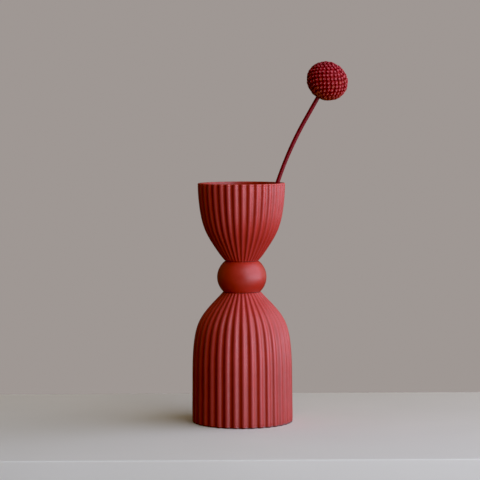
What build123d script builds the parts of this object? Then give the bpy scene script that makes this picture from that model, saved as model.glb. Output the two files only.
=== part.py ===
"""Fluted hourglass bud vase with a single dried billy-button flower standing in it.

Frame: millimetres, +Z up. The origin is the centre of the flat underside, on the vase's own axis.
The flower leans towards +X. Its stem runs from the floor of the lower body, through the bore of the
waist bead, to the inside of the rim, so that part of it is straight and can slide out along itself.
"""

import os
from math import cos, pi, radians, sin, sqrt

from build123d import *

# ---- driving dimensions, vase ----------------------------------------------------------------------
HEIGHT = 150.0  # underside to rim
FLUTES = 36
FLUTE_DEPTH = 0.036  # share of the local crest radius
FLUTE_TURN = 1.3  # degrees from the X axis to the first crest, the same above and below the bead
BASE_RADIUS = 31.6  # over the flute crests
RIM_RADIUS = 27.3
BORE_RADIUS = 8.6  # throat through the bead
SEAM = 0.3  # thickness of each fired slip seam

BEAD_RADIUS = 15.5
BEAD_HALF_HEIGHT = 13.8  # of the full spheroid, before its ends are cut flat
BEAD_CENTRE = 91.1
BEAD_BOTTOM = 82.0
BEAD_TOP = 101.2
LOWER_NECK_RADIUS = 11.9  # crest radius where the lower body meets the bead
UPPER_NECK_RADIUS = 10.5

LOWER_SPIGOT_RADIUS = 10.2  # ring under the bead that seats in the lower body
LOWER_SPIGOT_LENGTH = 2.6
UPPER_SPIGOT_RADIUS = 9.5  # locating lip on top of the bead, inside the cup's foot
UPPER_SPIGOT_LENGTH = 1.2
SPIGOT_PLAY = 0.1

FLOOR_THICKNESS = 4.0
FLOOR_RADIUS = 28.6
FLOOR_REBATE_RADIUS = FLOOR_RADIUS + SEAM
BASE_BORE_RADIUS = 28.4  # inside of the lower body, just above the floor
RIM_BORE_RADIUS = 24.9
EDGE_BREAK = 0.4  # bevel on the flute crests at the foot and the rim, and round the floor

# ---- driving dimensions, flower --------------------------------------------------------------------
STEM_RADIUS = 1.35
STEM_LEAN = 18.5  # degrees from the vertical, inside the vase
STEM_BEND = 11.2  # degrees more by the time it meets the head
STEM_BEND_RADIUS = 222.0
STEM_TIP_LENGTH = 23.3  # straight again below and inside the head
STEM_RIM_X = 22.6  # where its centreline crosses the rim's height
STEM_FLOOR_GAP = 0.4
HEAD_RADIUS = 13.3  # equator of the packed florets, over their tips
HEAD_HALF_HEIGHT = 12.1  # the globe is a little flattened along its stem
RECEPTACLE_RADIUS = 7.0
STEM_SOCKET_DEPTH = 3.0
FLOWER_PLAY = 0.05

# ---- outlines, as (radius, height) of the flute crests ---------------------------------------------
LOWER_OUTLINE = [
    (BASE_RADIUS, 0.0),
    (31.35, 26.0),
    (30.1, 51.6),
    (27.0, 63.2),
    (21.0, 72.0),
    (LOWER_NECK_RADIUS, BEAD_BOTTOM - SEAM),
]
CUP_OUTLINE = [
    (UPPER_NECK_RADIUS, BEAD_TOP + SEAM),
    (16.9, 110.0),
    (22.6, 120.0),
    (26.3, 135.0),
    (RIM_RADIUS, HEIGHT),
]
LOWER_SECTIONS = 16
CUP_SECTIONS = 12


def polar(radius, angle):
    """Point at a radius and an angle in radians."""
    return (radius * cos(angle), radius * sin(angle))


def fluted_ring(radius):
    """Closed wave of round crests and round valleys, its crests at a radius. Call it in a BuildLine."""
    quarter = pi / (2 * FLUTES)
    valley = radius * (1 - FLUTE_DEPTH)
    middle = (radius + valley) / 2
    for flute in range(FLUTES):
        crest = radians(FLUTE_TURN) + flute * 4 * quarter
        start = polar(middle, crest - quarter)
        between = polar(middle, crest + quarter)
        end = polar(middle, crest + 3 * quarter)
        ThreePointArc(start, polar(radius, crest), between)
        ThreePointArc(between, polar(valley, crest + 2 * quarter), end)


def outline_points(outline, sections, start_slope, end_slope):
    """Evenly spaced (radius, height) points along the smooth curve through an outline."""
    curve = Edge.make_spline([Vector(r, z) for r, z in outline], tangents=[start_slope, end_slope])
    return [curve @ (step / (sections - 1)) for step in range(sections)]


def spheroid_radius(equator, half_height, offset):
    """Radius of a spheroid at a height above or below its centre."""
    return equator * sqrt(1 - (offset / half_height) ** 2)


# ---- lower body: fluted bell, open at the foot for its floor ---------------------------------------
pocket_floor = BEAD_BOTTOM - SEAM - LOWER_SPIGOT_LENGTH
lower_pocket_radius = LOWER_SPIGOT_RADIUS + SPIGOT_PLAY
with BuildPart() as lower_body:
    for point in outline_points(LOWER_OUTLINE, LOWER_SECTIONS, (0, 1), (-1, 1.12)):
        with BuildSketch(Plane.XY.offset(point.Y)):
            with BuildLine():
                fluted_ring(point.X)
            make_face()
    loft()
    with BuildSketch(Plane.XZ):
        with BuildLine():
            Polyline(
                (0, 0),
                (FLOOR_REBATE_RADIUS, 0),
                (FLOOR_REBATE_RADIUS, FLOOR_THICKNESS),
                (BASE_BORE_RADIUS, FLOOR_THICKNESS),
            )
            Spline(
                (BASE_BORE_RADIUS, FLOOR_THICKNESS),
                (28.0, 40.0),
                (25.2, 58.0),
                (18.6, 69.5),
                (BORE_RADIUS, pocket_floor),
                tangents=((0, 1), (-1, 0.9)),
            )
            Polyline(
                (BORE_RADIUS, pocket_floor),
                (lower_pocket_radius, pocket_floor),
                (lower_pocket_radius, BEAD_BOTTOM),
                (0, BEAD_BOTTOM),
                (0, 0),
            )
        make_face()
    revolve(axis=Axis.Z, mode=Mode.SUBTRACT)
    with BuildSketch(Plane.XZ):
        with BuildLine():
            Polyline(
                (BASE_RADIUS - EDGE_BREAK, 0),
                (BASE_RADIUS + EDGE_BREAK, 0),
                (BASE_RADIUS + EDGE_BREAK, 2 * EDGE_BREAK),
                close=True,
            )
        make_face()
    revolve(axis=Axis.Z, mode=Mode.SUBTRACT)

# ---- floor disc and the seam that holds it in its rebate -------------------------------------------
with BuildPart() as floor_disc:
    with BuildSketch():
        Circle(FLOOR_RADIUS)
    extrude(amount=FLOOR_THICKNESS)
    chamfer(floor_disc.faces().sort_by(Axis.Z)[0].edges(), EDGE_BREAK)

with BuildPart() as floor_slip_seam:
    with BuildSketch(Plane.XY.offset(EDGE_BREAK)):
        Circle(FLOOR_REBATE_RADIUS)
        Circle(FLOOR_RADIUS, mode=Mode.SUBTRACT)
    extrude(amount=FLOOR_THICKNESS - EDGE_BREAK)

# ---- waist bead with a locating spigot at each end -------------------------------------------------
bead_bottom_radius = spheroid_radius(BEAD_RADIUS, BEAD_HALF_HEIGHT, BEAD_BOTTOM - BEAD_CENTRE)
bead_top_radius = spheroid_radius(BEAD_RADIUS, BEAD_HALF_HEIGHT, BEAD_TOP - BEAD_CENTRE)
with BuildPart() as waist_bead:
    with BuildSketch(Plane.XZ):
        with Locations((0, BEAD_CENTRE)):
            Ellipse(BEAD_RADIUS, BEAD_HALF_HEIGHT)
        with Locations((BEAD_RADIUS / 2, (BEAD_BOTTOM + BEAD_TOP) / 2)):
            Rectangle(BEAD_RADIUS, BEAD_TOP - BEAD_BOTTOM, mode=Mode.INTERSECT)
        with Locations((0, BEAD_TOP)):
            Rectangle(UPPER_SPIGOT_RADIUS, UPPER_SPIGOT_LENGTH, align=(Align.MIN, Align.MIN))
        with Locations((0, BEAD_BOTTOM)):
            Rectangle(LOWER_SPIGOT_RADIUS, LOWER_SPIGOT_LENGTH, align=(Align.MIN, Align.MAX))
    revolve(axis=Axis.Z)
    with Locations((0, 0, HEIGHT)):
        Hole(BORE_RADIUS, depth=HEIGHT)

# ---- the two slip seams at the waist ---------------------------------------------------------------
with BuildPart() as lower_slip_seam:
    with BuildSketch(Plane.XY.offset(BEAD_BOTTOM - SEAM)):
        Circle(bead_bottom_radius - SEAM)
        Circle(LOWER_SPIGOT_RADIUS, mode=Mode.SUBTRACT)
    extrude(amount=SEAM)

with BuildPart() as upper_slip_seam:
    with BuildSketch(Plane.XY.offset(BEAD_TOP)):
        Circle(UPPER_NECK_RADIUS * (1 - FLUTE_DEPTH))
        Circle(UPPER_SPIGOT_RADIUS, mode=Mode.SUBTRACT)
    extrude(amount=SEAM)

# ---- upper cup: fluted, thin-walled, open at both ends ---------------------------------------------
upper_pocket_radius = UPPER_SPIGOT_RADIUS + SPIGOT_PLAY
pocket_top = BEAD_TOP + UPPER_SPIGOT_LENGTH + SPIGOT_PLAY
with BuildPart() as upper_cup:
    for point in outline_points(CUP_OUTLINE, CUP_SECTIONS, (1, 1.05), (0, 1)):
        with BuildSketch(Plane.XY.offset(point.Y)):
            with BuildLine():
                fluted_ring(point.X)
            make_face()
    loft()
    with BuildSketch(Plane.XZ):
        with BuildLine():
            Polyline(
                (0, BEAD_TOP),
                (upper_pocket_radius, BEAD_TOP),
                (upper_pocket_radius, pocket_top),
                (BORE_RADIUS, pocket_top),
            )
            Spline(
                (BORE_RADIUS, pocket_top),
                (14.2, 110.0),
                (20.0, 120.0),
                (23.9, 135.0),
                (RIM_BORE_RADIUS, HEIGHT),
                tangents=((1, 1.2), (0, 1)),
            )
            Polyline(
                (RIM_BORE_RADIUS, HEIGHT),
                (RIM_BORE_RADIUS, HEIGHT + 1),
                (0, HEIGHT + 1),
                (0, BEAD_TOP),
            )
        make_face()
    revolve(axis=Axis.Z, mode=Mode.SUBTRACT)
    with BuildSketch(Plane.XZ):
        with BuildLine():
            Polyline(
                (RIM_RADIUS - EDGE_BREAK, HEIGHT),
                (RIM_RADIUS + EDGE_BREAK, HEIGHT),
                (RIM_RADIUS + EDGE_BREAK, HEIGHT - 2 * EDGE_BREAK),
                close=True,
            )
        make_face()
    revolve(axis=Axis.Z, mode=Mode.SUBTRACT)

# ---- flower stem: straight inside the vase, then one long bend to the head -------------------------
lean = radians(STEM_LEAN)
stem_slope = sin(lean) / cos(lean)
foot_z = FLOOR_THICKNESS + STEM_FLOOR_GAP + STEM_RADIUS * sin(lean)
stem_foot = Vector(STEM_RIM_X - (HEIGHT - foot_z) * stem_slope, 0, foot_z)
stem_rim = Vector(STEM_RIM_X, 0, HEIGHT)
stem_line = Edge.make_line(stem_foot, stem_rim)
bend_centre = stem_rim + Vector(cos(lean), 0, -sin(lean)) * STEM_BEND_RADIUS


def bend_point(turn_degrees):
    """Point on the stem's bend, after a turn away from its lean inside the vase."""
    angle = lean + radians(turn_degrees)
    return bend_centre + Vector(-cos(angle), 0, sin(angle)) * STEM_BEND_RADIUS


bend_end = bend_point(STEM_BEND)
stem_bend = Edge.make_three_point_arc(stem_rim, bend_point(STEM_BEND / 2), bend_end)
head_angle = radians(STEM_LEAN + STEM_BEND)
head_axis = Vector(sin(head_angle), 0, cos(head_angle))
stem_top = bend_end + head_axis * STEM_TIP_LENGTH
stem_tip = Edge.make_line(bend_end, stem_top)
head_centre = stem_top + head_axis * (RECEPTACLE_RADIUS - STEM_SOCKET_DEPTH)
head_plane = Plane(origin=head_centre, x_dir=(0, 1, 0), z_dir=head_axis)

with BuildPart() as flower_stem:
    with BuildSketch(Plane(origin=stem_foot, z_dir=Vector(sin(lean), 0, cos(lean)))):
        Circle(STEM_RADIUS)
    sweep(path=Wire([stem_line, stem_bend, stem_tip]))

# ---- receptacle: the hard core that the florets grow on --------------------------------------------
with BuildPart() as flower_receptacle:
    Sphere(RECEPTACLE_RADIUS)
    with Locations((0, 0, -RECEPTACLE_RADIUS)):
        Cylinder(
            STEM_RADIUS + FLOWER_PLAY,
            2 * (STEM_SOCKET_DEPTH + FLOWER_PLAY),
            mode=Mode.SUBTRACT,
        )
flower_receptacle.part = head_plane.location * flower_receptacle.part

# ---- floret globe: the packed florets around the receptacle ----------------------------------------
with BuildPart() as floret_globe:
    Sphere(HEAD_RADIUS)
    scale(by=(1, 1, HEAD_HALF_HEIGHT / HEAD_RADIUS))
    Sphere(RECEPTACLE_RADIUS + FLOWER_PLAY, mode=Mode.SUBTRACT)
    with Locations((0, 0, -HEAD_HALF_HEIGHT)):
        Cylinder(
            STEM_RADIUS + FLOWER_PLAY,
            HEAD_HALF_HEIGHT,
            align=(Align.CENTER, Align.CENTER, Align.MIN),
            mode=Mode.SUBTRACT,
        )
floret_globe.part = head_plane.location * floret_globe.part

# ---- write each piece ------------------------------------------------------------------------------
PIECES = {
    "lower_body": lower_body,
    "floor_disc": floor_disc,
    "floor_slip_seam": floor_slip_seam,
    "waist_bead": waist_bead,
    "lower_slip_seam": lower_slip_seam,
    "upper_slip_seam": upper_slip_seam,
    "upper_cup": upper_cup,
    "flower_stem": flower_stem,
    "flower_receptacle": flower_receptacle,
    "floret_globe": floret_globe,
}

os.makedirs("parts", exist_ok=True)
for name, piece in PIECES.items():
    piece.part.label = name
    export_step(piece.part, f"parts/{name}.step")
    print(name, round(piece.part.volume, 1), "mm3, valid", piece.part.is_valid)
print("head centre", head_centre, "stem length", round(Wire([stem_line, stem_bend, stem_tip]).length, 1))
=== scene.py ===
"""Looks of the fluted bud vase and its dried flower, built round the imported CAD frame.

Everything is in metres, +Z up, in the CAD frame: the origin is the centre of the vase's underside.
The fluted shells, the bead, the stem and the florets are fine meshes of their own. The floor disc,
the slip seams and the flower's receptacle are the CAD nodes with better materials.
"""

import math
import random

import bpy
import numpy as np
from mathutils import Matrix, Vector


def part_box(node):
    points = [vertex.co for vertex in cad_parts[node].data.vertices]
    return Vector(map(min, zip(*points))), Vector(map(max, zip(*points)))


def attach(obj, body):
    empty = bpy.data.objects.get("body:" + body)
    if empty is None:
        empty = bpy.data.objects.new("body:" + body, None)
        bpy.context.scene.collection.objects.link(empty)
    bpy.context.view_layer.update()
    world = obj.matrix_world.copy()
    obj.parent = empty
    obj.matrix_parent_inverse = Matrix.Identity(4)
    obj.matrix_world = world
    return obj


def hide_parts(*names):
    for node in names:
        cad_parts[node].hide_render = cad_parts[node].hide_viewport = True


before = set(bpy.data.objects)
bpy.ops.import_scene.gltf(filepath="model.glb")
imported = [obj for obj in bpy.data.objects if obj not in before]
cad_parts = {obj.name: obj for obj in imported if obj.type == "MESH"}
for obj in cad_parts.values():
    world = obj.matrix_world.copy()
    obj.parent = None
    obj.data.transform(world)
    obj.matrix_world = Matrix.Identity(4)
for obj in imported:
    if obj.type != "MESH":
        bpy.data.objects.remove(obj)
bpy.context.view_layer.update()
MM = 0.001
FULL_TURN = 2 * math.pi

# ---- sizes that the frame gives ------------------------------------------------------------------
cup_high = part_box("upper_cup")[1]
bead_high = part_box("waist_bead")[1]
floor_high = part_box("floor_disc")[1]
stem_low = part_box("flower_stem")[0]
core_low, core_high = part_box("flower_receptacle")
seam_low, seam_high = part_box("lower_slip_seam")

HEIGHT = cup_high.z
BEAD_RADIUS = bead_high.x
FLOOR_THICKNESS = floor_high.z
HEAD_CENTRE = (core_low + core_high) / 2
SEAM_THICKNESS = seam_high.z - seam_low.z

# ---- driving sizes, as in the CAD source ---------------------------------------------------------
FLUTES = 36
FLUTE_DEPTH = 0.036  # share of the local crest radius
FLUTE_TURN = math.radians(1.3)
BASE_RADIUS = 31.6 * MM
RIM_RADIUS = 27.3 * MM
BORE_RADIUS = 8.6 * MM
BEAD_HALF_HEIGHT = 13.8 * MM
BEAD_CENTRE = 91.1 * MM
BEAD_BOTTOM = 82.0 * MM
BEAD_TOP = 101.2 * MM
LOWER_SPIGOT_RADIUS = 10.2 * MM
LOWER_SPIGOT_LENGTH = 2.6 * MM
UPPER_SPIGOT_RADIUS = 9.5 * MM
UPPER_SPIGOT_LENGTH = 1.2 * MM
SPIGOT_PLAY = 0.1 * MM
FLOOR_REBATE_RADIUS = 28.9 * MM
RIM_BORE_RADIUS = 24.9 * MM

# Outlines as (radius, height) points in mm, each followed by its slopes at the two ends.
LOWER_OUTLINE = [(31.6, 0.0), (31.35, 26.0), (30.1, 51.6), (27.0, 63.2), (21.0, 72.0), (11.9, 81.7)]
LOWER_OUTLINE_ENDS = (0, 1), (-1, 1.12)
LOWER_CAVITY = [(28.4, 4.0), (28.0, 40.0), (25.2, 58.0), (18.6, 69.5), (8.6, 79.1)]
LOWER_CAVITY_ENDS = (0, 1), (-1, 0.9)
CUP_OUTLINE = [(10.5, 101.5), (16.9, 110.0), (22.6, 120.0), (26.3, 135.0), (27.3, 150.0)]
CUP_OUTLINE_ENDS = (1, 1.05), (0, 1)
CUP_CAVITY = [(8.6, 102.5), (14.2, 110.0), (20.0, 120.0), (23.9, 135.0), (24.9, 150.0)]
CUP_CAVITY_ENDS = (1, 1.2), (0, 1)

STEM_RADIUS = 1.35 * MM
STEM_LEAN = math.radians(18.5)
STEM_BEND = math.radians(11.2)
STEM_BEND_RADIUS = 222.0 * MM
STEM_TIP_LENGTH = 23.3 * MM
STEM_RIM_X = 22.6 * MM
HEAD_RADIUS = 13.3 * MM
HEAD_HALF_HEIGHT = 12.1 * MM
RECEPTACLE_RADIUS = 7.0 * MM

# ---- finer sizes of the vase, which only the looks have ------------------------------------------
EDGE_ROUNDING = 0.45 * MM
EDGE_RINGS = 5
FOOT_ROUNDING = 0.8 * MM  # the foot's bevel is taller than it is deep
FOOT_FLATTENING = 0.7  # share of the flutes' depth that is gone at the very foot
EDGE_TONE_LOSS = 0.3  # share of an edge's rubbed paleness, and of the foot's painted contact shadow, that is gone at the inner end of its rounding
WIPED_LINE = 1.4 * MM  # from the foot and from the rim to the fine line that a wiping finger leaves
WIPED_DEPTH = 0.10 * MM
WIPED_PROFILE = ((-0.45, 0.0), (-0.2, 0.5), (0.0, 1.0), (0.2, 0.5), (0.45, 0.0))  # (mm, share of depth)
BAND_WIDTH = WIPED_LINE + 0.6 * MM  # the edge and its wiped line, before the fluted wall starts
PLAIN_DIP = 0.45  # a plain turned surface takes the glaze's tone from between crest and valley
BEAD_SOFTENING = 0.25 * MM
BEAD_END_GAP = 0.02  # radians of the bead's outline that the softening takes at each end

FLUTE_SAMPLES = 16
FLUTE_STEPS = [step / FLUTE_SAMPLES for step in range(FLUTE_SAMPLES)]
TURNED_COLUMNS = 192
BODY_WALL_RINGS, BODY_CAVITY_RINGS = 120, 56
CUP_WALL_RINGS, CUP_CAVITY_RINGS = 90, 60
BEAD_RINGS, BORE_RINGS = 56, 14

# ---- finer sizes of the flower -------------------------------------------------------------------
STEM_COLUMNS = 40
STEM_ROWS = 170
STEM_RIBS = 9
STEM_RIB_DEPTH = 0.022  # half of a rib's depth, as a share of the stem's radius
STEM_RIB_TWIST = 50 * MM  # length in which the ribs turn by one radian of their wave
STEM_FULLNESS = 0.99  # share of the stem's radius at its foot
STEM_TAPER = 0.02  # and what of that it loses towards the head
STEM_KNOTS = ((0.014, 0.0093, 0.0), (0.010, 0.0041, 1.7))  # (share of radius, metres per radian, phase)
STEM_CUT = ((0.42, 0.0, 1.0), (0.80, 0.0, 0.6), (0.95, 0.06 * MM, 0.0))  # (scale, along, pith tone)
STEM_CUT_END = 0.25 * MM
STEM_TOP_SCALE = 0.5

FLORET_PAIRS = 148
PAIR_TURN = math.radians(137.508 / 2)  # two golden spirals run side by side, half a turn apart
HEAD_SPIN = math.radians(125.4)
FLORET_LENGTH = 2.6 * MM
FLORET_LOBES = 5
FLORET_TURN_SPREAD = 0.012
FLORET_RISE_SPREAD = 0.006
FLORET_LEAN_SPREAD = 0.05
FLORET_SIZES = (0.92, 1.06)
FLORET_SUNK_SPREAD = 0.18  # mm
FLORET_RISE_LIMIT = 0.999
BARE_RADIUS = 2.3 * MM  # round the stem, where no floret grows
FADE_BELOW = -0.50  # florets lower on the globe than this fade to tan
FADE_GAIN = 1.6
FADE_LEAST = 0.4  # share of its fade that every such floret gets, before chance adds to it
ODD_FADE_FROM = 0.97  # and so do a few others, a little
ODD_FADE = 0.2
FLORET_SHARP_DEGREES = 75

BED_COLUMNS = 96
BED_ROWS, BED_INNER_ROWS = 60, 24
BED_HOLE = 1.5 * MM
BED_SCALE = 1 - 1.5 * MM / HEAD_RADIUS
BED_ROUGHNESS = 0.008
BED_BUMPS, BED_BUMP_SHIFT = 17, 3.1  # round each row, and from one row to the next
BED_PLAY = 0.1 * MM
POLE_GAP = 0.01

BRACTS = 11
BRACT_ROWS, BRACT_COLUMNS = 7, 5
BRACT_TURN_SPREAD = 0.2
BRACT_LENGTHS = (3.0, 4.0)  # mm
BRACT_HALF_WIDTHS = (0.75, 1.0)  # mm
BRACT_THICKNESS = 0.14 * MM
BRACT_SCALE = 0.955
BRACT_CURL_ACROSS = 0.22 * MM
BRACT_CURL_ALONG = 0.25 * MM
BRACT_SHARP_DEGREES = 60


# ---- curves and meshes ---------------------------------------------------------------------------
def smooth_curve(points, start_slope, end_slope):
    """Function from 0..1 to (radius, height) in metres: a clamped cubic spline through mm points."""
    at = np.array(points, float) * MM
    gaps = np.linalg.norm(np.diff(at, axis=0), axis=1)
    knots = np.concatenate([[0.0], np.cumsum(gaps)])
    count = len(at)
    system = np.zeros((count, count))
    wanted = np.zeros((count, 2))
    system[0, 0] = system[-1, -1] = 1.0
    wanted[0] = np.array(start_slope) / np.linalg.norm(start_slope)
    wanted[-1] = np.array(end_slope) / np.linalg.norm(end_slope)
    for i in range(1, count - 1):
        before, after = gaps[i - 1], gaps[i]
        system[i, i - 1] = after
        system[i, i] = 2 * (before + after)
        system[i, i + 1] = before
        wanted[i] = 3 * ((at[i] - at[i - 1]) / before * after + (at[i + 1] - at[i]) / after * before)
    slopes = np.linalg.solve(system, wanted)

    def curve(share):
        s = share * knots[-1]
        i = min(int(np.searchsorted(knots, s, side="right")) - 1, count - 2)
        i = max(i, 0)
        h = gaps[i]
        t = (s - knots[i]) / h
        start = (1 + 2 * t) * (1 - t) ** 2 * at[i] + t * (1 - t) ** 2 * h * slopes[i]
        end = t * t * (3 - 2 * t) * at[i + 1] + t * t * (t - 1) * h * slopes[i + 1]
        return start + end

    return curve


def flute_dip(share):
    """Depth across one flute, 0 on a crest and 1 in a valley: two round arcs, crest and valley.

    The arcs meet a quarter of the way across, at half the depth.
    """
    from_crest = min(share, 1 - share)
    near = min(from_crest, 0.5 - from_crest)
    rise = FLUTE_DEPTH * FLUTES / (4 * math.pi)
    arc = (0.25**2 + rise**2) / (2 * rise)
    dip = (arc - math.sqrt(arc**2 - near**2)) / (2 * rise)
    return dip if from_crest < 0.25 else 1 - dip


FLUTED_SHARES = np.array([(flute + step) / FLUTES for flute in range(FLUTES) for step in FLUTE_STEPS])
FLUTED_ANGLES = FLUTED_SHARES * FULL_TURN + FLUTE_TURN
FLUTED_DIPS = np.array([flute_dip(step) for step in FLUTE_STEPS] * FLUTES)
TURNED_ANGLES = np.arange(TURNED_COLUMNS) * FULL_TURN / TURNED_COLUMNS


def shares(count, start=0.0, end=1.0):
    return [start + (end - start) * i / (count - 1) for i in range(count)]


def fluted_ring(radius, height, inset=0.0, wear_and_shade=0.0, cut=1.0):
    """A ring's radii, height, dips and edge tone: rubbed pale above 0, a painted contact shadow below 0. cut
    is the share of the flutes' full depth it has.
    """
    return (radius * (1 - FLUTE_DEPTH * cut * FLUTED_DIPS) - inset, height, FLUTED_DIPS, wear_and_shade)


def plain_ring(radius, height, wear_and_shade=0.0, columns=len(FLUTED_ANGLES)):
    return (np.full(columns, radius), height, np.full(columns, PLAIN_DIP), wear_and_shade)


def wall(ring, curve, count, low, high):
    """Rings of one kind along a curve, those that lie between two heights."""
    places = [curve(share) for share in shares(count)]
    return [ring(radius, height) for radius, height in places if low < height < high]


def grid_faces(rows, columns, wraps=False, start=0):
    """Quads between rows of points whose columns run round in a ring."""
    faces = []
    for row in range(rows if wraps else rows - 1):
        low = start + row * columns
        high = start + (row + 1) % rows * columns
        for column in range(columns):
            beside = (column + 1) % columns
            faces.append((low + column, low + beside, high + beside, high + column))
    return faces


def paint(mesh, name, values):
    """Give a mesh one number per point, for its material to read."""
    layer = mesh.attributes.new(name, "FLOAT", "POINT")
    layer.data.foreach_set("value", np.array(values, np.float32))


def finished(name, mesh, sharp_degrees=40):
    """The mesh as an object in the scene, smooth but for its sharp edges."""
    mesh.validate()
    mesh.shade_smooth()
    mesh.set_sharp_from_angle(angle=math.radians(sharp_degrees))
    piece = bpy.data.objects.new(name, mesh)
    bpy.context.scene.collection.objects.link(piece)
    return piece


def turned_mesh(name, rings, angles):
    """Closed quad mesh from rings, each joined to the next and the last one to the first."""
    count = len(angles)
    points = []
    for radii, height, _, _ in rings:
        points.extend(zip(radii * np.cos(angles), radii * np.sin(angles), [height] * count))
    mesh = bpy.data.meshes.new(name)
    mesh.from_pydata(points, [], grid_faces(len(rings), count, wraps=True))
    paint(mesh, "crest", np.concatenate([1 - ring[2] for ring in rings]))
    paint(mesh, "wear_and_shade", np.concatenate([np.full(count, ring[3]) for ring in rings]))
    return finished(name, mesh)


# ---- vase pieces ---------------------------------------------------------------------------------
def end_band(radius, end_height, inward, rounding, wear_and_shade, flattened):
    """Rings from a fluted rounded edge to just past its wiped line, in order away from the edge.

    inward is 1 at the foot and -1 at the rim: the way from the edge into the wall. rounding is how
    far the rounded edge reaches that way. Its tone argument is 1 where the glaze is rubbed pale, and
    -1 where the edge is painted dark as a contact shadow. flattened is the share of the flutes' depth
    that the very edge has lost.
    """
    rings = []
    for share in shares(EDGE_RINGS):
        angle = math.pi / 2 * share
        inset = EDGE_ROUNDING * (1 - math.sin(angle))
        rise = rounding * (1 - math.cos(angle))
        # At the foot the tone is negative: a painted contact shadow, fading away from the edge.
        edge_tone = wear_and_shade * (1.0 - EDGE_TONE_LOSS * share)
        cut = 1 - flattened * (1 - share) ** 2
        rings.append(fluted_ring(radius, end_height + rise * inward, inset, edge_tone, cut))
    for offset, depth in WIPED_PROFILE:
        height = end_height + (WIPED_LINE + offset * MM) * inward
        rings.append(fluted_ring(radius, height, WIPED_DEPTH * depth))
    return rings


def make_lower_body():
    """The fluted bell: foot, wall, the pocket for the bead's spigot, and the cavity down to the rebate."""
    outer = smooth_curve(LOWER_OUTLINE, *LOWER_OUTLINE_ENDS)
    inner = smooth_curve(LOWER_CAVITY, *LOWER_CAVITY_ENDS)
    neck_top = BEAD_BOTTOM - SEAM_THICKNESS
    pocket = LOWER_SPIGOT_RADIUS + SPIGOT_PLAY
    pocket_floor = neck_top - LOWER_SPIGOT_LENGTH
    rings = [plain_ring(FLOOR_REBATE_RADIUS, 0.0, wear_and_shade=1.0)]
    # The foot's edge gets a painted contact shadow (-1.0).
    rings += end_band(BASE_RADIUS, 0.0, 1, FOOT_ROUNDING, -1.0, FOOT_FLATTENING)
    rings += wall(fluted_ring, outer, BODY_WALL_RINGS, BAND_WIDTH, HEIGHT)
    rings += [plain_ring(pocket, neck_top), plain_ring(pocket, pocket_floor)]
    rings += reversed(wall(plain_ring, inner, BODY_CAVITY_RINGS, 0.0, neck_top))
    rings += [plain_ring(FLOOR_REBATE_RADIUS, FLOOR_THICKNESS)]
    return turned_mesh("lower_body_shell", rings, FLUTED_ANGLES)


def make_upper_cup():
    """The fluted cup: the pocket at its foot, the wall, the rim, and the cavity down to the throat."""
    outer = smooth_curve(CUP_OUTLINE, *CUP_OUTLINE_ENDS)
    inner = smooth_curve(CUP_CAVITY, *CUP_CAVITY_ENDS)
    pocket = UPPER_SPIGOT_RADIUS + SPIGOT_PLAY
    pocket_top = BEAD_TOP + UPPER_SPIGOT_LENGTH + SPIGOT_PLAY
    foot = outer(0.0)[1]
    rings = [plain_ring(pocket, pocket_top), plain_ring(pocket, foot)]
    rings += wall(fluted_ring, outer, CUP_WALL_RINGS, 0.0, HEIGHT - BAND_WIDTH)
    rings += reversed(end_band(RIM_RADIUS, HEIGHT, -1, EDGE_ROUNDING, 1.0, 0.0))
    for share in shares(EDGE_RINGS):
        angle = math.pi / 2 * share
        radius = RIM_BORE_RADIUS + EDGE_ROUNDING * (1 - math.sin(angle))
        height = HEIGHT - EDGE_ROUNDING * (1 - math.cos(angle))
        rings.append(plain_ring(radius, height, wear_and_shade=1.0 - share))
    rings += reversed(wall(plain_ring, inner, CUP_CAVITY_RINGS, 0.0, HEIGHT - 2 * EDGE_ROUNDING))
    return turned_mesh("upper_cup_shell", rings, FLUTED_ANGLES)


def make_bead():
    """The waist bead: a spheroid cut flat at both ends, with its spigots and its bored throat."""
    def ring(radius, height, wear_and_shade=0.0):
        return plain_ring(radius, height, wear_and_shade, TURNED_COLUMNS)

    low = math.asin((BEAD_BOTTOM - BEAD_CENTRE) / BEAD_HALF_HEIGHT)
    high = math.asin((BEAD_TOP - BEAD_CENTRE) / BEAD_HALF_HEIGHT)
    bottom = BEAD_BOTTOM - LOWER_SPIGOT_LENGTH
    lip = BEAD_TOP + UPPER_SPIGOT_LENGTH
    rings = [ring(LOWER_SPIGOT_RADIUS, bottom), ring(LOWER_SPIGOT_RADIUS, BEAD_BOTTOM)]
    rings.append(ring(BEAD_RADIUS * math.cos(low) - BEAD_SOFTENING, BEAD_BOTTOM))
    for tilt in shares(BEAD_RINGS, low + BEAD_END_GAP, high - BEAD_END_GAP):
        rings.append(ring(BEAD_RADIUS * math.cos(tilt), BEAD_CENTRE + BEAD_HALF_HEIGHT * math.sin(tilt)))
    rings.append(ring(BEAD_RADIUS * math.cos(high) - BEAD_SOFTENING, BEAD_TOP))
    rings += [ring(UPPER_SPIGOT_RADIUS, BEAD_TOP), ring(UPPER_SPIGOT_RADIUS, lip)]
    rings += [ring(BORE_RADIUS, height) for height in shares(BORE_RINGS, lip, bottom)]
    return turned_mesh("waist_bead_turned", rings, TURNED_ANGLES)


# ---- flower pieces -------------------------------------------------------------------------------
def direction(angle):
    """Unit vector in the XZ plane, leaning from +Z towards +X."""
    return Vector((math.sin(angle), 0, math.cos(angle)))


HEAD_ANGLE = STEM_LEAN + STEM_BEND
HEAD_TURN = Matrix.Rotation(HEAD_ANGLE, 3, "Y")
STEM_FOOT_Z = stem_low.z + STEM_RADIUS * math.sin(STEM_LEAN)
STEM_STRAIGHT = (HEIGHT - STEM_FOOT_Z) / math.cos(STEM_LEAN)
STEM_ARC = STEM_BEND * STEM_BEND_RADIUS
STEM_LENGTH = STEM_STRAIGHT + STEM_ARC + STEM_TIP_LENGTH


def on_head(points):
    """Points of the globe's own frame, put where the globe sits on its stem."""
    return [HEAD_CENTRE + HEAD_TURN @ point for point in points]


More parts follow.
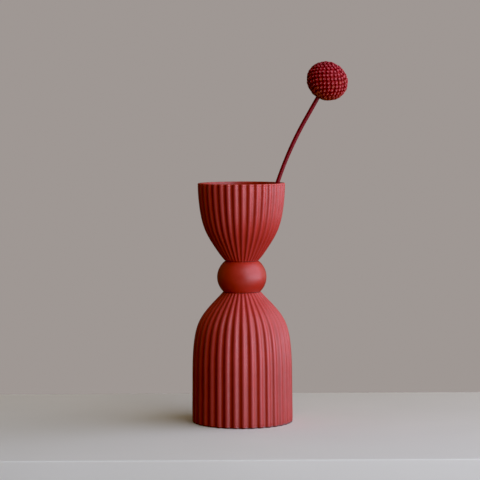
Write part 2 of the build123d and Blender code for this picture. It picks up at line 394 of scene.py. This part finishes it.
def stem_point(along):
    """Centre of the stem and its direction, at a distance from the foot."""
    rim = Vector((STEM_RIM_X, 0, HEIGHT))
    if along < STEM_STRAIGHT:
        return rim - direction(STEM_LEAN) * (STEM_STRAIGHT - along), direction(STEM_LEAN)
    turn = min((along - STEM_STRAIGHT) / STEM_BEND_RADIUS, STEM_BEND)
    side = Vector((math.cos(STEM_LEAN), 0, -math.sin(STEM_LEAN)))
    angle = STEM_LEAN + turn
    centre = rim + (side - Vector((math.cos(angle), 0, -math.sin(angle)))) * STEM_BEND_RADIUS
    past = max(along - STEM_STRAIGHT - STEM_ARC, 0.0)
    return centre + direction(angle) * past, direction(angle)


def make_stem():
    """Ribbed, slightly uneven stem that thins towards the head, with a clean cut at its foot."""
    points, pith, heights = [], [], []

    def add_ring(along, scale, is_pith):
        centre, towards = stem_point(along)
        across = Vector((0, 1, 0)).cross(towards)
        thin = STEM_FULLNESS - STEM_TAPER * along / STEM_LENGTH
        knots = sum(depth * math.sin(along / reach + phase) for depth, reach, phase in STEM_KNOTS)
        for column in range(STEM_COLUMNS):
            angle = FULL_TURN * column / STEM_COLUMNS
            rib = STEM_RIB_DEPTH * (math.cos(STEM_RIBS * angle + along / STEM_RIB_TWIST) - 1)
            radius = STEM_RADIUS * scale * (thin + knots + rib)
            sideways = Vector((0, radius * math.sin(angle), 0))
            points.append(centre + across * radius * math.cos(angle) + sideways)
            pith.append(is_pith)
            heights.append(along)

    for scale, along, is_pith in STEM_CUT:
        add_ring(along, scale, is_pith)
    for along in shares(STEM_ROWS, STEM_CUT_END, STEM_LENGTH):
        add_ring(along, 1.0, 0.0)
    add_ring(STEM_LENGTH, STEM_TOP_SCALE, 0.0)
    ring_count = len(points) // STEM_COLUMNS
    faces = grid_faces(ring_count, STEM_COLUMNS)
    faces.append(tuple(reversed(range(STEM_COLUMNS))))
    faces.append(tuple(range((ring_count - 1) * STEM_COLUMNS, ring_count * STEM_COLUMNS)))
    mesh = bpy.data.meshes.new("dried_stem")
    mesh.from_pydata(points, [], faces)
    paint(mesh, "pith", pith)
    paint(mesh, "along", np.array(heights) / STEM_LENGTH)
    return finished("dried_stem", mesh)


def head_place(turn, rise, scale=1.0):
    """Point on the globe and its outward normal: a turn about the stem's axis and a rise of -1..1."""
    flat = math.sqrt(max(1 - rise * rise, 0.0))
    out = Vector((flat * math.cos(turn), flat * math.sin(turn), rise))
    point = Vector((out.x * HEAD_RADIUS, out.y * HEAD_RADIUS, out.z * HEAD_HALF_HEIGHT)) * scale
    normal = Vector((out.x / HEAD_RADIUS, out.y / HEAD_RADIUS, out.z / HEAD_HALF_HEIGHT)).normalized()
    return point, normal


# One floret, as rings of (radius in mm, height share, lobing, tip tone), from its root to its mouth.
FLORET_RINGS = (
    (0.55, 0.00, 0.00, 0.0),
    (0.85, 0.30, 0.00, 0.0),
    (1.10, 0.55, 0.04, 0.1),
    (1.18, 0.72, 0.08, 0.25),
    (1.06, 0.86, 0.14, 0.45),
    (0.80, 0.95, 0.20, 0.60),
    (0.56, 0.94, 0.12, 0.75),
    (0.42, 0.91, 0.00, 0.85),
    (0.26, 0.98, 0.00, 1.0),
)


def make_florets():
    """Every floret as a small five-lobed bud with a pale tip, joined in one mesh."""
    rng = random.Random(11)
    columns = 2 * FLORET_LOBES
    points, faces, tips, fades, tones = [], [], [], [], []
    for pair in range(FLORET_PAIRS):
        rise = -1 + (2 * pair + 1) / FLORET_PAIRS
        for twin in (0, math.pi):
            turn = pair * PAIR_TURN + twin + HEAD_SPIN + rng.gauss(0, FLORET_TURN_SPREAD)
            lift = rise + rng.gauss(0, FLORET_RISE_SPREAD)
            jitter = [rng.gauss(0, FLORET_LEAN_SPREAD) for _ in range(3)]
            size = rng.uniform(*FLORET_SIZES)
            sunk = abs(rng.gauss(0, FLORET_SUNK_SPREAD)) * MM
            spin = rng.uniform(0, FULL_TURN)
            faded = rng.random()
            tone = rng.random()
            if math.sqrt(1 - rise * rise) * HEAD_RADIUS < BARE_RADIUS and rise < 0:
                continue
            tip, normal = head_place(turn, max(-FLORET_RISE_LIMIT, min(FLORET_RISE_LIMIT, lift)))
            axis = (normal + Vector(jitter)).normalized()
            side = axis.orthogonal().normalized()
            other = axis.cross(side)
            root = tip - axis * (FLORET_LENGTH + sunk)
            start = len(points)
            for radius, height, lobing, tip_tone in FLORET_RINGS:
                for column in range(columns):
                    angle = spin + FULL_TURN * column / columns
                    reach = radius * size * MM * (1 + lobing * (1 if column % 2 == 0 else -1))
                    points.append(
                        root
                        + axis * (height * FLORET_LENGTH)
                        + (side * math.cos(angle) + other * math.sin(angle)) * reach
                    )
                    tips.append(tip_tone)
            points.append(root + axis * FLORET_LENGTH)
            tips.append(1.0)
            faces += grid_faces(len(FLORET_RINGS), columns, start=start)
            last = start + (len(FLORET_RINGS) - 1) * columns
            top = len(points) - 1
            faces += [(last + c, last + (c + 1) % columns, top) for c in range(columns)]
            faces.append(tuple(start + c for c in reversed(range(columns))))
            low = max(0.0, FADE_BELOW - rise) * FADE_GAIN + (ODD_FADE if faded > ODD_FADE_FROM else 0.0)
            fades += [min(1.0, low * (FADE_LEAST + faded))] * (len(points) - start)
            tones += [tone] * (len(points) - start)
    mesh = bpy.data.meshes.new("florets")
    mesh.from_pydata(on_head(points), [], faces)
    paint(mesh, "tip", tips)
    paint(mesh, "fade", fades)
    paint(mesh, "tone", tones)
    return finished("florets", mesh, FLORET_SHARP_DEGREES)


def make_floret_bed():
    """The chaffy bed between the florets' roots, hollow round the receptacle."""
    start = -math.acos(BED_HOLE / (HEAD_RADIUS * BED_SCALE))
    points = []
    for row, tilt in enumerate(shares(BED_ROWS, start, math.pi / 2 - POLE_GAP)):
        for column in range(BED_COLUMNS):
            angle = FULL_TURN * column / BED_COLUMNS
            bump = math.sin(BED_BUMPS * angle + BED_BUMP_SHIFT * row) * math.cos(tilt)
            point, _ = head_place(angle, math.sin(tilt), BED_SCALE * (1 + BED_ROUGHNESS * bump))
            points.append(point)
    inner = RECEPTACLE_RADIUS + BED_PLAY
    inner_start = -math.acos(BED_HOLE / inner)
    for tilt in shares(BED_INNER_ROWS, math.pi / 2 - POLE_GAP, inner_start):
        for column in range(BED_COLUMNS):
            angle = FULL_TURN * column / BED_COLUMNS
            flat = math.cos(tilt)
            out = Vector((math.cos(angle) * flat, math.sin(angle) * flat, math.sin(tilt)))
            points.append(out * inner)
    mesh = bpy.data.meshes.new("floret_bed")
    faces = grid_faces(BED_ROWS + BED_INNER_ROWS, BED_COLUMNS, wraps=True)
    mesh.from_pydata(on_head(points), [], faces)
    return finished("floret_bed", mesh)


def make_bracts():
    """Small dry scales that lie against the globe's underside, round the stem."""
    rng = random.Random(5)
    rows, columns = BRACT_ROWS, BRACT_COLUMNS
    count = rows * columns
    points, faces = [], []
    for bract in range(BRACTS):
        turn = FULL_TURN * (bract + rng.uniform(-BRACT_TURN_SPREAD, BRACT_TURN_SPREAD)) / BRACTS
        reach = rng.uniform(*BRACT_LENGTHS) * MM
        wide = rng.uniform(*BRACT_HALF_WIDTHS) * MM
        start = len(points)
        for layer in (0.0, BRACT_THICKNESS):
            for i in range(rows):
                along = i / (rows - 1)
                out = STEM_RADIUS + reach * along
                tilt = -math.acos(min(out / HEAD_RADIUS, 1.0))
                middle, normal = head_place(turn, math.sin(tilt), BRACT_SCALE)
                sideways = Vector((-math.sin(turn), math.cos(turn), 0))
                # narrow at the root, widest past the middle, and nearly pointed at the tip
                half = wide * math.sin(math.pi * (0.18 + 0.80 * along)) ** 0.7
                for j in range(columns):
                    across = 2 * j / (columns - 1) - 1
                    curl = BRACT_CURL_ACROSS * (1 - across**2) + BRACT_CURL_ALONG * along**2
                    points.append(middle + sideways * half * across + normal * (curl + layer))
        for i in range(rows - 1):
            for j in range(columns - 1):
                corner = start + i * columns + j
                quad = (corner, corner + 1, corner + columns + 1, corner + columns)
                faces.append(tuple(point + count for point in quad))
                faces.append(tuple(reversed(quad)))
        edge = [start + j for j in range(columns)]
        edge += [start + i * columns + columns - 1 for i in range(1, rows)]
        edge += [start + (rows - 1) * columns + j for j in reversed(range(columns - 1))]
        edge += [start + i * columns for i in reversed(range(1, rows - 1))]
        for here, there in zip(edge, edge[1:] + edge[:1]):
            faces.append((here, there, there + count, here + count))
    mesh = bpy.data.meshes.new("bracts")
    mesh.from_pydata(on_head(points), [], faces)
    return finished("bracts", mesh, BRACT_SHARP_DEGREES)


# ---- materials -----------------------------------------------------------------------------------
# The mix node repeats its sockets for every data type: these are the colour ones.
MIX_FIRST_COLOUR, MIX_SECOND_COLOUR, MIX_COLOUR_RESULT = 6, 7, 2


class Finish:
    """A material under construction: a shader, and short calls for the nodes that feed it."""

    def __init__(self, name, roughness, specular=0.5):
        self.material = bpy.data.materials.new(name)
        self.material.use_nodes = True
        self.tree = self.material.node_tree
        self.shader = self.tree.nodes["Principled BSDF"]
        self.shader.inputs["Roughness"].default_value = roughness
        self.shader.inputs["Specular IOR Level"].default_value = specular
        self.place = self.tree.nodes.new("ShaderNodeTexCoord").outputs["Object"]

    def link(self, output, target):
        """Feed a socket from a node's output, or set it to a number or a colour."""
        if isinstance(output, (int, float)):
            target.default_value = output
        elif isinstance(output, tuple):
            target.default_value = (*output, 1.0)
        else:
            self.tree.links.new(output, target)

    def noise(self, size, detail=2.0, stretch=(1, 1, 1), turned=0.0):
        """Noise of 0..1 whose features are about a size in metres."""
        mapping = self.tree.nodes.new("ShaderNodeMapping")
        mapping.inputs["Rotation"].default_value = (0, turned, 0)
        mapping.inputs["Scale"].default_value = stretch
        self.link(self.place, mapping.inputs["Vector"])
        node = self.tree.nodes.new("ShaderNodeTexNoise")
        node.inputs["Scale"].default_value = 1 / size
        node.inputs["Detail"].default_value = detail
        self.link(mapping.outputs["Vector"], node.inputs["Vector"])
        return node.outputs["Fac"]

    def cells(self, size):
        """Distance to the nearest of scattered points about a size apart."""
        node = self.tree.nodes.new("ShaderNodeTexVoronoi")
        node.inputs["Scale"].default_value = 1 / size
        self.link(self.place, node.inputs["Vector"])
        return node.outputs["Distance"]

    def painted(self, name):
        """The number that paint() gave each point of the mesh."""
        node = self.tree.nodes.new("ShaderNodeAttribute")
        node.attribute_name = name
        return node.outputs["Fac"]

    def ranged(self, value, low, high, to_low=0.0, to_high=1.0):
        """A value's range low..high moved to to_low..to_high, and clamped there."""
        node = self.tree.nodes.new("ShaderNodeMapRange")
        self.link(value, node.inputs["Value"])
        for socket, number in zip(("From Min", "From Max", "To Min", "To Max"), (low, high, to_low, to_high)):
            node.inputs[socket].default_value = number
        return node.outputs["Result"]

    def combined(self, first, second, operation="ADD"):
        node = self.tree.nodes.new("ShaderNodeMath")
        node.operation = operation
        self.link(first, node.inputs[0])
        self.link(second, node.inputs[1])
        return node.outputs["Value"]

    def scaled(self, value, factor):
        return self.combined(value, factor, "MULTIPLY")

    def height(self):
        node = self.tree.nodes.new("ShaderNodeSeparateXYZ")
        self.link(self.place, node.inputs["Vector"])
        return node.outputs["Z"]

    def blend(self, factor, first, second):
        node = self.tree.nodes.new("ShaderNodeMix")
        node.data_type = "RGBA"
        self.link(factor, node.inputs["Factor"])
        self.link(first, node.inputs[MIX_FIRST_COLOUR])
        self.link(second, node.inputs[MIX_SECOND_COLOUR])
        return node.outputs[MIX_COLOUR_RESULT]

    def colour(self, output):
        self.link(output, self.shader.inputs["Base Color"])

    def rough(self, output):
        self.link(output, self.shader.inputs["Roughness"])

    def bump(self, height, distance, strength=1.0):
        node = self.tree.nodes.new("ShaderNodeBump")
        node.inputs["Distance"].default_value = distance
        node.inputs["Strength"].default_value = strength
        self.link(height, node.inputs["Height"])
        self.link(node.outputs["Normal"], self.shader.inputs["Normal"])


# Base colours, linear RGB.
GLAZE_DEEP = (0.36, 0.020, 0.010)
GLAZE_BODY = (0.44, 0.029, 0.017)
GLAZE_THIN_AND_HIGHLIGHT = (0.50, 0.056, 0.066)  # on the crests: thinner glaze, with a painted bluish highlight
GLAZE_POOLED_AND_SHADED = (0.27, 0.014, 0.018)  # in the valleys: pooled glaze, with painted shade
GLAZE_WORN = (0.58, 0.085, 0.055)  # on the rim
# Painted contact shadow along the foot's edge.
GLAZE_FOOT_SHADOW = (0.10, 0.006, 0.005)
GLAZE_SPECK = (0.14, 0.012, 0.008)
CLAY_DARK, CLAY_PALE = (0.36, 0.075, 0.045), (0.46, 0.115, 0.070)
CLAY_GRAIN = (0.24, 0.045, 0.028)
# Slip in the joints, painted darker than the glaze as the shade between the parts.
SLIP_AND_SHADE_DARK, SLIP_AND_SHADE_PALE = (0.10, 0.006, 0.004), (0.19, 0.014, 0.009)
STEM_DARK, STEM_PALE = (0.13, 0.001, 0.006), (0.24, 0.002, 0.013)
STEM_STAIN = (0.12, 0.001, 0.006)
STEM_PITH = (0.42, 0.20, 0.12)
FLORET_DEEP = (0.25, 0.004, 0.003), (0.21, 0.002, 0.013)  # at the globe's bottom, and at its top
FLORET_BRIGHT = (0.35, 0.009, 0.006), (0.30, 0.003, 0.019)  # likewise
FLORET_ROOT = (0.27, 0.002, 0.007)
FLORET_SPECKLE = (0.30, 0.003, 0.008)
FLORET_TIP = (0.62, 0.14, 0.15)
FLORET_FADED = (0.36, 0.060, 0.014)
CHAFF = (0.26, 0.002, 0.005), (0.36, 0.004, 0.009)
BRACT = (0.10, 0.018, 0.006), (0.26, 0.06, 0.02)
RECEPTACLE = (0.14, 0.02, 0.012), (0.28, 0.06, 0.03)
FLOOR_TONES = (0.665, 0.672, 0.613), (0.705, 0.712, 0.653)
TURNING_PITCH = 0.8 * MM  # between the turning lines on the bead


def make_glaze(name, turning_lines):
    """Satin coral glaze, cloudy and finely specked: crests painted lighter and bluer (thin glaze and painted
    highlight), valleys darker (pooled glaze and painted shade), the rim rubbed pale, and a painted contact
    shadow along the foot.
    """
    finish = Finish(name, 0.36, 0.62)
    cloud = finish.ranged(finish.noise(0.022, 3.0), 0.3, 0.7)
    fine_cloud = finish.ranged(finish.noise(0.004, 2.0), 0.35, 0.65)
    clouds = finish.combined(finish.scaled(cloud, 0.65), finish.scaled(fine_cloud, 0.35))
    body = finish.blend(clouds, GLAZE_DEEP, GLAZE_BODY)
    # Crests: thinner glaze, lighter, with a painted bluish highlight.
    crest = finish.scaled(finish.ranged(finish.painted("crest"), 0.55, 1.0), 0.45)
    # Valleys: pooled glaze, darker, with painted shade.
    valley = finish.ranged(finish.painted("crest"), 0.0, 0.35, 0.12, 0.0)
    thin = finish.blend(crest, finish.blend(valley, body, GLAZE_POOLED_AND_SHADED), GLAZE_THIN_AND_HIGHLIGHT)
    wear_and_shade = finish.scaled(finish.painted("wear_and_shade"), finish.ranged(finish.noise(0.0016, 2.0), 0.35, 0.6))
    edged = finish.blend(finish.ranged(wear_and_shade, 0.0, 1.0, 0.0, 0.6), thin, GLAZE_WORN)
    # Along the foot's edge the tone is negative: the glaze is painted dark as a contact shadow.
    foot = finish.ranged(finish.painted("wear_and_shade"), -0.9, 0.0, 1.0, 0.0)
    edged = finish.blend(foot, edged, GLAZE_FOOT_SHADOW)
    speck = finish.ranged(finish.cells(0.0042), 0.05, 0.085, 0.55, 0.0)
    finish.colour(finish.blend(speck, edged, GLAZE_SPECK))
    finish.rough(finish.ranged(finish.noise(0.009, 3.0), 0.25, 0.75, 0.33, 0.45))
    skin = finish.combined(finish.noise(0.0011, 2.0), finish.scaled(finish.noise(0.0003, 1.0), 0.3))
    if turning_lines:
        turns = finish.scaled(finish.height(), FULL_TURN / TURNING_PITCH)
        lines = finish.combined(turns, 0.0, "SINE")
        skin = finish.combined(skin, finish.scaled(lines, 0.22))
    finish.bump(skin, 0.03 * MM, 0.35)
    return finish.material


def make_bare_clay():
    """Unglazed, red-stained clay under the foot: matte, sandy, a little paler."""
    finish = Finish("bare_clay", 0.82, 0.3)
    grain = finish.ranged(finish.noise(0.0006, 3.0), 0.3, 0.7)
    cloud = finish.ranged(finish.noise(0.012, 2.0), 0.3, 0.7)
    body = finish.blend(cloud, CLAY_DARK, CLAY_PALE)
    finish.colour(finish.blend(finish.scaled(grain, 0.35), body, CLAY_GRAIN))
    finish.rough(finish.ranged(grain, 0.0, 1.0, 0.75, 0.92))
    finish.bump(finish.noise(0.0007, 4.0), 0.12 * MM, 0.7)
    return finish.material


def make_slip_and_joint_shade():
    """Fired slip in the joints: duller than the glaze beside it, and painted dark as the shade between the
    parts.
    """
    finish = Finish("fired_slip_and_joint_shade", 0.62, 0.35)
    patch = finish.ranged(finish.noise(0.003, 3.0), 0.3, 0.7)
    finish.colour(finish.blend(patch, SLIP_AND_SHADE_DARK, SLIP_AND_SHADE_PALE))
    finish.rough(finish.ranged(patch, 0.0, 1.0, 0.55, 0.75))
    finish.bump(finish.noise(0.0009, 3.0), 0.05 * MM, 0.6)
    return finish.material


def make_stem_skin():
    """Dyed dry stem: fine lengthwise fibres, darker patches, a pale pith where it is cut."""
    finish = Finish("dyed_stem", 0.48, 0.25)
    lean = -(STEM_LEAN + STEM_BEND / 2)
    lengthwise = (1, 1, 0.05)
    fibre = finish.ranged(finish.noise(0.0006, 2.0, lengthwise, lean), 0.3, 0.7)
    patch = finish.ranged(finish.noise(0.011, 3.0), 0.35, 0.7)
    skin = finish.blend(fibre, STEM_DARK, STEM_PALE)
    stained = finish.blend(finish.scaled(patch, 0.45), skin, STEM_STAIN)
    finish.colour(finish.blend(finish.painted("pith"), stained, STEM_PITH))
    finish.rough(finish.ranged(fibre, 0.0, 1.0, 0.36, 0.52))
    finish.bump(finish.noise(0.0005, 2.0, lengthwise, lean), 0.08 * MM, 0.7)
    return finish.material


def make_floret_skin():
    """Dyed florets: crimson to orange down the globe, pale at the tips, some faded to tan."""
    finish = Finish("dyed_floret", 0.5, 0.28)
    tip = finish.painted("tip")
    speckle = finish.ranged(finish.noise(0.0005, 2.0), 0.3, 0.7)
    upward = finish.ranged(finish.height(), HEAD_CENTRE.z - HEAD_RADIUS, HEAD_CENTRE.z + HEAD_RADIUS)
    deep = finish.blend(upward, *FLORET_DEEP)
    bright = finish.blend(upward, *FLORET_BRIGHT)
    shoulder = finish.blend(finish.painted("tone"), deep, bright)
    low = finish.blend(finish.ranged(tip, 0.0, 0.25), FLORET_ROOT, shoulder)
    mottled = finish.blend(finish.scaled(speckle, 0.25), low, FLORET_SPECKLE)
    tipped = finish.blend(finish.ranged(tip, 0.76, 1.0), mottled, FLORET_TIP)
    finish.colour(finish.blend(finish.painted("fade"), tipped, FLORET_FADED))
    finish.rough(finish.ranged(speckle, 0.0, 1.0, 0.40, 0.58))
    finish.bump(finish.noise(0.0004, 2.0), 0.06 * MM, 0.6)
    return finish.material


def make_dry_scale(name, dark, light):
    """Papery or pithy plant skin between two tones."""
    finish = Finish(name, 0.7, 0.3)
    streak = finish.ranged(finish.noise(0.0008, 3.0, (1, 1, 0.3), -HEAD_ANGLE), 0.3, 0.7)
    finish.colour(finish.blend(streak, dark, light))
    finish.rough(finish.ranged(streak, 0.0, 1.0, 0.62, 0.8))
    finish.bump(finish.noise(0.0005, 3.0), 0.08 * MM, 0.7)
    return finish.material


def make_tabletop():
    """Pale, matte, faintly clouded tabletop."""
    finish = Finish("pale_floor", 0.78, 0.18)
    cloud = finish.ranged(finish.noise(0.15, 3.0), 0.3, 0.7)
    finish.colour(finish.blend(cloud, *FLOOR_TONES))
    finish.bump(finish.noise(0.0012, 3.0), 0.05 * MM, 0.3)
    return finish.material


# ---- build and dress the pieces ------------------------------------------------------------------
def dress(piece, material, body, slot, *nodes):
    piece.data.materials.append(material)
    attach(piece, body)
    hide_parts(*nodes)


fluted_glaze = make_glaze("satin_glaze", turning_lines=False)
dress(make_lower_body(), fluted_glaze, "vase", "body_ceramic", "lower_body")
dress(make_upper_cup(), fluted_glaze, "vase", "body_ceramic", "upper_cup")
dress(make_bead(), make_glaze("satin_glaze_turned", turning_lines=True), "vase", "bead_ceramic", "waist_bead")
dress(make_stem(), make_stem_skin(), "flower", "stem", "flower_stem")
dress(make_florets(), make_floret_skin(), "flower", "florets", "floret_globe")
bed_skin = make_dry_scale("dark_chaff", *CHAFF)
dress(make_floret_bed(), bed_skin, "flower", "florets", "floret_globe")
bract_skin = make_dry_scale("dry_bract", *BRACT)
dress(make_bracts(), bract_skin, "flower", "florets", "floret_globe")

bare_clay = make_bare_clay()
# The slip's dark colour is painted shade in the joints.
slip = make_slip_and_joint_shade()
pith = make_dry_scale("receptacle_pith", *RECEPTACLE)
CARRIED = {
    "floor_disc": bare_clay,
    "floor_slip_seam": slip,
    "lower_slip_seam": slip,
    "upper_slip_seam": slip,
    "flower_receptacle": pith,
}
for name, material in CARRIED.items():
    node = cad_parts[name]
    node.data.materials.clear()
    node.data.materials.append(material)


# ---- studio --------------------------------------------------------------------------------------
FLOOR_BACK, FLOOR_FRONT = 120 * MM, -135 * MM
FLOOR_HALF_WIDTH = 1.2
FLOOR_SLAB = 18 * MM
FLOOR_EDGE_ROUNDING = 1 * MM
FLOOR_EDGE_STEPS = 12
FLOOR_SHARP_DEGREES = 30

LIGHT_TARGET = Vector((0, 0, 0.09))
# Each light's name, azimuth and elevation in degrees (0 is the camera's side and 90 its right),
# distance, width and height in metres, watts, colour, and whether it makes highlights.
LIGHTS = (
    ("window", 65, 31, 1.4, 2.5, 1.6, 27, (0.89, 0.92, 1.16), True),
    ("window_sill", 62, -4, 1.4, 2.3, 0.6, 12, (0.90, 0.93, 1.15), True),
    ("room_bounce", 30, -24, 1.2, 1.4, 0.5, 2.2, (1.0, 0.90, 0.84), False),
    ("right_bounce", 130, 10, 1.2, 0.8, 0.8, 1.2, (1.0, 0.90, 0.82), True),
    ("front_fill", 10, 40, 1.4, 1.0, 1.0, 3.2, (1.0, 0.87, 0.66), False),
    ("left_fill", -68, 20, 1.6, 1.0, 1.2, 0.15, (1.0, 0.90, 0.80), False),
    ("back_left", -130, 6, 1.3, 1.2, 0.7, 1.7, (1.0, 0.80, 0.56), False),
    ("wall_glow", 180, 30, 0.45, 1.8, 0.9, 1.25, (1.0, 0.76, 0.46), False),
)
WORLD_FILL, WORLD_FILL_STRENGTH = (1.0, 0.87, 0.72, 1), 0.035
BACKDROP = (0.349, 0.315, 0.301, 1)

CAMERA_PLACE = (-0.0010, -1.1896, 0.1935)
CAMERA_DOWN = 3.81  # degrees
CAMERA_ROLL = -0.29  # degrees
CAMERA_SENSOR, CAMERA_LENS = 36.0, 142.8  # mm
BLACK_LEVEL = (0.002, 0.004, 0.007)  # linear red, green and blue that the view shows as black


def make_floor():
    """Pale tabletop with a softly rounded edge, which ends behind the vase.

    It takes the vase's shadow, but neither lights the vase from below nor mirrors in its glaze.
    """
    mesh = bpy.data.meshes.new("floor")
    profile = []
    for share in shares(FLOOR_EDGE_STEPS):
        angle = math.pi * (share - 0.5)
        edge = FLOOR_BACK - FLOOR_EDGE_ROUNDING if share > 0.5 else FLOOR_FRONT + FLOOR_EDGE_ROUNDING
        across = edge + FLOOR_EDGE_ROUNDING * math.sin(angle)
        profile.append((across, FLOOR_EDGE_ROUNDING * (math.cos(angle) - 1)))
    profile += [(FLOOR_BACK, -FLOOR_SLAB), (FLOOR_FRONT, -FLOOR_SLAB)]
    points = [(x, y, z) for x in (-FLOOR_HALF_WIDTH, FLOOR_HALF_WIDTH) for y, z in profile]
    count = len(profile)
    faces = [(i, (i + 1) % count, count + (i + 1) % count, count + i) for i in range(count)]
    faces += [tuple(reversed(range(count))), tuple(range(count, 2 * count))]
    mesh.from_pydata(points, [], [tuple(reversed(face)) for face in faces])
    floor = finished("floor", mesh, FLOOR_SHARP_DEGREES)
    mesh.materials.append(make_tabletop())
    floor.visible_diffuse = False
    floor.visible_glossy = False


def area_light(name, azimuth, elevation, distance, width, height, watts, colour, glints):
    light = bpy.data.lights.new(name, "AREA")
    light.shape = "RECTANGLE"
    light.size = width
    light.size_y = height
    light.energy = watts
    light.color = colour
    lamp = bpy.data.objects.new(name, light)
    a, e = math.radians(azimuth), math.radians(elevation)
    towards = Vector((math.sin(a) * math.cos(e), -math.cos(a) * math.cos(e), math.sin(e)))
    lamp.location = LIGHT_TARGET + towards * distance
    lamp.rotation_mode = "QUATERNION"
    lamp.rotation_quaternion = towards.to_track_quat("Z", "Y")
    lamp.visible_camera = False
    lamp.visible_glossy = glints
    bpy.context.scene.collection.objects.link(lamp)


def make_world():
    """Dim fill light, and a pale backdrop colour that only the camera sees."""
    world = bpy.data.worlds.new("studio")
    bpy.context.scene.world = world
    world.use_nodes = True
    nodes, links = world.node_tree.nodes, world.node_tree.links
    nodes.clear()
    out = nodes.new("ShaderNodeOutputWorld")
    mix = nodes.new("ShaderNodeMixShader")
    path = nodes.new("ShaderNodeLightPath")
    fill = nodes.new("ShaderNodeBackground")
    seen = nodes.new("ShaderNodeBackground")
    fill.inputs["Color"].default_value = WORLD_FILL
    fill.inputs["Strength"].default_value = WORLD_FILL_STRENGTH
    seen.inputs["Color"].default_value = BACKDROP
    links.new(path.outputs["Is Camera Ray"], mix.inputs["Fac"])
    links.new(fill.outputs["Background"], mix.inputs[1])
    links.new(seen.outputs["Background"], mix.inputs[2])
    links.new(mix.outputs["Shader"], out.inputs["Surface"])


def make_camera():
    """The photograph's own viewpoint."""
    camera = bpy.data.cameras.new("camera")
    camera.sensor_width = CAMERA_SENSOR
    camera.lens = CAMERA_LENS
    eye = bpy.data.objects.new("camera", camera)
    eye.location = CAMERA_PLACE
    pitch, roll = math.radians(90 - CAMERA_DOWN), math.radians(CAMERA_ROLL)
    eye.rotation_euler = (Matrix.Rotation(pitch, 3, "X") @ Matrix.Rotation(roll, 3, "Z")).to_euler()
    bpy.context.scene.collection.objects.link(eye)
    bpy.context.scene.camera = eye


make_floor()
make_world()
for row in LIGHTS:
    area_light(*row)
make_camera()
view = bpy.context.scene.view_settings
view.view_transform = "Standard"
view.use_curve_mapping = True
view.curve_mapping.black_level = BLACK_LEVEL
view.curve_mapping.update()
